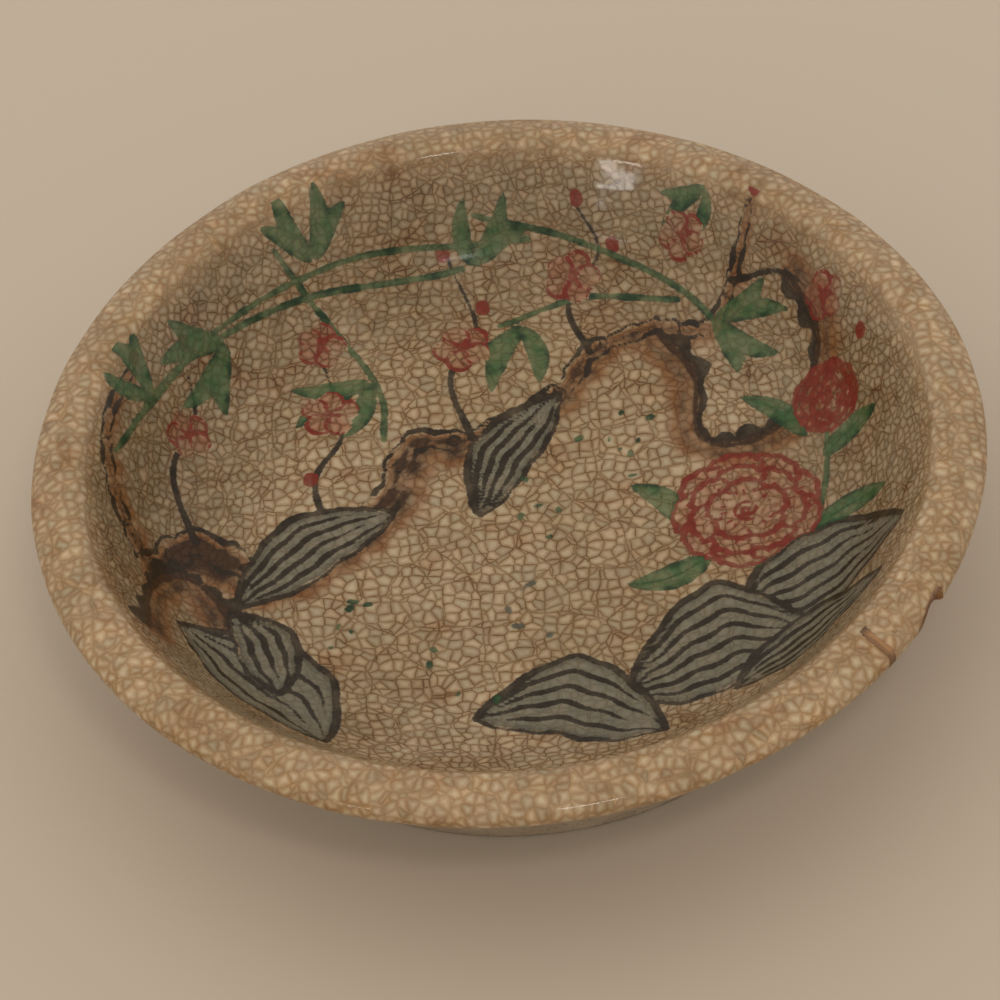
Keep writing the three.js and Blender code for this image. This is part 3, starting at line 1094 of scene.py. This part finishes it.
    def add_cracks(self, paint):
        """The cracks, with the stain that spreads beside them, both weaker where it is painted."""
        bare_of_paint = self.scaled(self.most(self.washed, self.enamel), -0.65, 1.0)
        reach = self.step(self.lip, 0, 1, 1.3, 1.7)
        halo = self.step(self.math("DIVIDE", self.gap, reach), 0.0, 1.0, 1.0, 0.0)
        halo = self.times(halo, self.step(self.medium, 0.25, 0.75, 0.65, 1.0), bare_of_paint)
        paint = self.tinted(paint, self.blend(self.lip, HALO_INSIDE, HALO_LIP), halo)
        width = self.step(self.patch, 0.3, 0.7, 0.07, 0.15)
        line = self.step(self.math("DIVIDE", self.gap, width), 0.5, 1.8, 1.0, 0.0)
        line = self.times(line, self.step(self.lip, 0, 1, 0.95, 0.20))
        line = self.times(line, self.step(self.broken_up, 0.35, 0.65, 0.45, 1.0))
        self.line = self.times(line, bare_of_paint)
        return self.tinted(paint, CRACK, self.line)

    def add_bare_foot(self, paint):
        """Bare clay below the glaze line, close to the foot."""
        down = self.math("ADD", self.along, self.scaled(self.medium, 3.0, -1.5))
        self.bare = self.step(down, AT_SEAT - 3.4, AT_SEAT - 3.0)
        toast = self.step(down, AT_SEAT - 7.0, AT_SEAT - 3.4, 0, 0.6)
        paint = self.blend(toast, paint, TOASTED)
        return self.blend(self.bare, paint, clay_colour(self, self.place))

    def close(self, paint):
        """Relief and gloss: raised enamels, sunken cracks, and a floor worn duller by use."""
        height = self.times(self.step(self.enamel, 0.2, 0.9), 0.45)
        height = self.scaled(self.step(self.gap, 0.0, 0.5), 0.30, height)
        height = self.math("ADD", height, self.times(self.medium, 0.35))
        rough = self.most(self.scaled(self.line, 0.25, 0.32), self.times(self.bare, 0.85))
        coat = self.step(self.fine, 0.2, 0.8, 0.16, 0.34)
        coat = self.times(self.math("SUBTRACT", 1.0, self.bare), coat)
        coat = self.times(coat, self.step(self.along, WORN_TO, GLOSSY_FROM, 0.25, 1.0))
        return self.finish(
            height,
            0.10,
            Base_Color=paint,
            Roughness=rough,
            Specular_IOR_Level=0.18,
            Coat_Weight=coat,
            Coat_Roughness=0.07,
        )


def glaze_material():
    glaze = Glaze()
    paint = glaze.add_enamels(glaze.add_washes(glaze.bare_colour_and_painted_shade()))
    paint = glaze.add_cracks(glaze.add_break_stain(paint))
    return glaze.close(glaze.add_bare_foot(paint))


def trimming_rings(surface, place):
    """The fine rings of the trimming tool, from -1 to 1."""
    level = surface.vector("MULTIPLY", place, (1, 1, 0))
    radius = surface.add("VectorMath", {0: level}, operation="LENGTH").outputs["Value"]
    wobble = surface.times(surface.noise(place, 25.0, 1.0), 9.0)
    return surface.math("SINE", surface.scaled(radius, 3.9, wobble))


def clay_colour(surface, place):
    """Brown stoneware clay with grog and iron specks."""
    tone = surface.noise(place, 12.0, 4.0, 0.6)
    clay = surface.laid(CLAY_PALE, CLAY_BROWN, tone, 0.2, 0.8)
    rings = trimming_rings(surface, place)
    clay = surface.laid(clay, CLAY_RINGS, rings, 0.2, 1.0, 0.22)
    specks = surface.noise(place, 0.7, 2.0)
    clay = surface.laid(clay, CLAY_IRON, specks, 0.62, 0.70, 0.6)
    return surface.laid(clay, CLAY_GROG, specks, 0.36, 0.30, 0.5)


def foot_material():
    """Unglazed, trimmed clay, soiled where it rubs the table."""
    surface = Surface("foot_clay")
    place = surface.position()
    up = surface.add("SeparateXYZ", {0: place}).outputs["Z"]
    soiled = surface.step(up, 0.0, 1.2, 0.5, 0.0)
    clay = surface.blend(soiled, clay_colour(surface, place), CLAY_DIRT)
    grit = surface.noise(place, 0.8, 3.0, 0.7)
    height = surface.scaled(trimming_rings(surface, place), 0.25, grit)
    return surface.finish(height, 0.16, Base_Color=clay, Roughness=0.86)


def broken_clay_material():
    """The faces of the break and the chip: rough clay, stained with age."""
    surface = Surface("broken_clay")
    place = surface.position()
    tone = surface.noise(place, 2.2, 4.0, 0.65)
    grit = surface.noise(place, 0.5, 3.0, 0.7)
    clay = surface.laid(BROKEN_PALE, BROKEN_BROWN, tone, 0.38, 0.66)
    clay = surface.laid(clay, BROKEN_PITS, grit, 0.6, 0.72, 0.6)
    return surface.finish(surface.math("ADD", tone, grit), 0.25, Base_Color=clay, Roughness=0.9)


def lacquer_material():
    """The fill: dark at its inner end, orange over the crest and brown towards the outside."""
    surface = Surface("lacquer_mend")
    place = surface.position()
    along = surface.number("along")
    patches = surface.noise(place, 1.6, 3.0, 0.6)
    moved = surface.math("ADD", along, surface.scaled(patches, 5.0, -2.5))
    fill = surface.laid(FILL_INNER, FILL_MIDDLE, moved, AT_CREST, AT_CREST + 3)
    fill = surface.laid(fill, FILL_OUTER, moved, AT_CREST + 8, AT_CREST + 11)
    fill = surface.laid(fill, FILL_WORN, patches, 0.55, 0.75, 0.5)
    side = surface.scaled(patches, 0.7, surface.number("across"))
    fill = surface.laid(fill, FILL_SIDES, side, 0.65, 1.35, 0.7)
    grain_up = surface.noise(place, 0.7, 3.0, 0.6)
    return surface.finish(grain_up, 0.12, Base_Color=fill, Roughness=0.52)


# Pieces

def from_break_start(points, turn):
    """Distance of points from the face of the break that the fill was laid against."""
    return np.hypot(points[:, 0], points[:, 1]) * (turn - BREAK_START)


def from_chip(points):
    """Roughly how far points lie outside the chip's hollow, in millimetres."""
    c, s = math.cos(CHIP_AT), math.sin(CHIP_AT)
    outwards = points[:, 0] * c + points[:, 1] * s - RIM_RADIUS
    sideways_on = points[:, 1] * c - points[:, 0] * s
    place = np.column_stack([outwards, sideways_on, points[:, 2] - CHIP_HEIGHT]) / CHIP_SIZE
    reach = np.maximum(np.linalg.norm(place, axis=1), 0.01)
    return (reach - 1) * reach / np.linalg.norm(place / CHIP_SIZE, axis=1)


def stain_at(points, turn):
    """Nearness to the fill, the chip, the pinhole and the other faces of the break, in
    millimetres."""
    radius = np.hypot(points[:, 0], points[:, 1])
    inside = break_inside(points[:, 2])
    from_start = from_break_start(points, turn)
    from_end = radius * (turn - BREAK_END)
    on_lip = radius > inside - 1.5
    from_fill = np.minimum(abs(from_start), abs(from_start + MEND_GAP))
    near_fill = np.where(on_lip, 0.7 - from_fill, UNSTAINED)
    within = (from_start > -1) & (from_end < 1)
    near_end = np.where(on_lip, 0.1 - abs(from_end), UNSTAINED)
    near_back = np.where(within, 0.1 - abs(radius - inside), UNSTAINED)
    near_chip = np.where(from_end < 0.6, 1.1 - abs(from_chip(points)), UNSTAINED)
    along, at = PINHOLE
    place, _ = profile_at(np.array([along]))
    radius_at, height_at = make_uneven(place[0, 0], place[0, 1], at)
    hole = (radius_at * math.cos(at), radius_at * math.sin(at), height_at)
    near_hole = 1.1 - np.linalg.norm(points - hole, axis=1)
    nearest = np.maximum.reduce([near_fill, near_end, near_back, near_chip, near_hole])
    return np.maximum(nearest, UNSTAINED)


def describe(piece, painted=False):
    """Notes at each point what the glaze and fill materials ask for."""
    points = points_of(piece)
    turn, along = place_on_profile(points)
    note(piece, "along", along)
    note(piece, "stain", stain_at(points, turn))
    layers = {name: np.full(len(points), UNPAINTED) for name in LAYERS}
    if painted:
        chosen = np.flatnonzero(along < AT_SHOULDER + PAINTED_REACH)
        strokes = paint_inside(along[chosen, None] * on_circle(turn[chosen]))
        for name in LAYERS:
            layers[name][chosen] = strokes[name]
    for name, layer in layers.items():
        note(piece, name, layer)


def keep(piece, node, sharp_angle=32 * DEG):
    shade(piece, sharp_angle)
    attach(piece, "root")
    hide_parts(node)


def add_bowl_and_mend(glaze, broken, lacquer):
    both = [glaze, broken]
    whole = bowl_shape()
    body = piece_from("glazed_bowl", whole, both)
    fragment = piece_from("lip_fragment", whole, both)
    fill = piece_from("lacquer_seam", bowl_shape(FILL_SWELL), [lacquer])
    gap = piece_from("gap", break_block(-MEND_GAP, JOIN, -JOIN), both, material_index=1)
    carve(body, "DIFFERENCE", gap)
    space = piece_from("space", break_block(0, 0, 0), both, material_index=1)
    carve(fragment, "INTERSECT", space)
    chip = piece_from("chip", chip_shape(), both, material_index=1)
    carve(fragment, "DIFFERENCE", chip)
    seam = piece_from("seam", seam_block(), [lacquer])
    carve(fill, "INTERSECT", seam)
    carve(fill, "DIFFERENCE", body)
    carve(fill, "DIFFERENCE", fragment)
    fill.data.materials.clear()
    fill.data.materials.append(lacquer)
    discard(gap, space, chip, seam)
    describe(body, painted=True)
    describe(fragment)
    describe(fill)
    points = points_of(fill)
    middle = from_break_start(points, np.arctan2(points[:, 1], points[:, 0])) + MEND_GAP / 2
    note(fill, "across", np.abs(middle))
    keep(body, "dish_body")
    keep(fragment, "rim_fragment")
    keep(fill, "mend_fill")


def add_foot(clay):
    """The foot ring, with wiped edges and the slight waver of a hand-held tool."""
    rounded = ((0, FOOT_CHAMFER + 0.6), (0.15, FOOT_CHAMFER * 0.6), (0.55, 0.12), (1.3, 0))
    half = [(0, FOOT_HEIGHT)] + [(FOOT_TAPER + inset, z) for inset, z in rounded]
    inner = FOOT_RADIUS - FOOT_WIDTH
    corners = [(inner + inset, z) for inset, z in half]
    corners += [(FOOT_RADIUS - inset, z) for inset, z in reversed(half)]
    count = 320
    turn = 2 * math.pi * np.arange(count) / count
    rows = []
    path = np.array(corners, float)
    lengths = lengths_along(path)
    stations = np.unique(np.concatenate([lengths, np.arange(0, lengths[-1], 0.9)]))
    for at in stations:
        radius = np.interp(at, lengths, path[:, 0])
        z = np.interp(at, lengths, path[:, 1])
        free = min(1, (FOOT_HEIGHT - z) / 3) * min(1, z / 0.8)
        side = 1 if radius > FOOT_RADIUS - FOOT_WIDTH / 2 else -1
        dent = 0.10 * (1 - np.cos(5 * turn + 0.8 * z)) + 0.06 * (1 - np.cos(2.4 * z + turn))
        rows.append(round_the_axis(radius - side * free * dent, turn, z))
    faces = []
    for i in range(len(rows)):
        following = (i + 1) % len(rows)
        faces += flipped(band_faces(i * count, count, following * count, count))
    foot = piece_from("trimmed_foot", (np.vstack(rows), faces), [clay])
    keep(foot, "foot_ring", 50 * DEG)


# Stage, light and camera

def add_floor():
    corners = FLOOR_REACH * np.array([[-1, -1, 0], [1, -1, 0], [1, 1, 0], [-1, 1, 0]])
    piece_from("floor", (corners, [[0, 1, 2, 3]]), [floor_material()])


def floor_material():
    surface = Surface("plain_floor")
    tint = surface.noise(surface.position(), 900.0, 1.0)
    pale = surface.laid(FLOOR_PALE, FLOOR_DARK, tint, 0.3, 0.7)
    return surface.finish(tint, 0.001, Base_Color=pale, Roughness=0.9)


def area_light(name, place, target, size, power, tint):
    light = bpy.data.lights.new(name, "AREA")
    light.shape = "RECTANGLE"
    light.size, light.size_y = size
    light.energy = power
    light.color = tint
    lamp = bpy.data.objects.new(name, light)
    lamp.location = place
    lamp.rotation_euler = (Vector(target) - Vector(place)).to_track_quat("-Z", "Y").to_euler()
    bpy.context.scene.collection.objects.link(lamp)


def lamp_place(heading, height, distance):
    """A place seen from the dish under two angles in degrees."""
    level = distance * math.cos(height * DEG)
    turn = heading * DEG
    return (level * math.cos(turn), level * math.sin(turn), distance * math.sin(height * DEG))


def add_light():
    world = bpy.data.worlds.new("studio")
    world.use_nodes = True
    background = world.node_tree.nodes["Background"]
    background.inputs["Color"].default_value = (1.0, 0.97, 0.93, 1)
    background.inputs["Strength"].default_value = 0.76
    bpy.context.scene.world = world
    middle = (0, 0, 0.03)
    area_light("overhead", (-0.5, 0.3, 2.2), middle, (2.4, 2.4), 7, (1.0, 0.96, 0.90))
    area_light("strip", lamp_place(-129, 29.5, 1.45), middle, (0.22, 0.05), 0.9, (1.0, 0.97, 0.92))
    area_light("lamp", lamp_place(-80, 56.5, 1.45), middle, (0.18, 0.12), 2.0, (1.0, 0.97, 0.92))


def add_camera():
    """The photograph's viewing angle, found by fitting the rim's outline."""
    elevation, roll, distance = 47.56 * DEG, 6.16 * DEG, 1000
    target = Vector((-2.75, 2.22, 30.0))
    place = target + distance * Vector((0, -math.cos(elevation), math.sin(elevation)))
    data = bpy.data.cameras.new("camera")
    data.lens = 147.67
    data.sensor_width = 36
    camera = bpy.data.objects.new("camera", data)
    tilt = Matrix.Rotation(math.pi / 2 - elevation, 4, "X") @ Matrix.Rotation(-roll, 4, "Z")
    camera.matrix_world = Matrix.Translation(place * MM) @ tilt
    bpy.context.scene.collection.objects.link(camera)
    bpy.context.scene.camera = camera


bpy.context.scene.view_settings.view_transform = "Standard"
add_bowl_and_mend(glaze_material(), broken_clay_material(), lacquer_material())
add_foot(foot_material())
add_floor()
add_light()
add_camera()
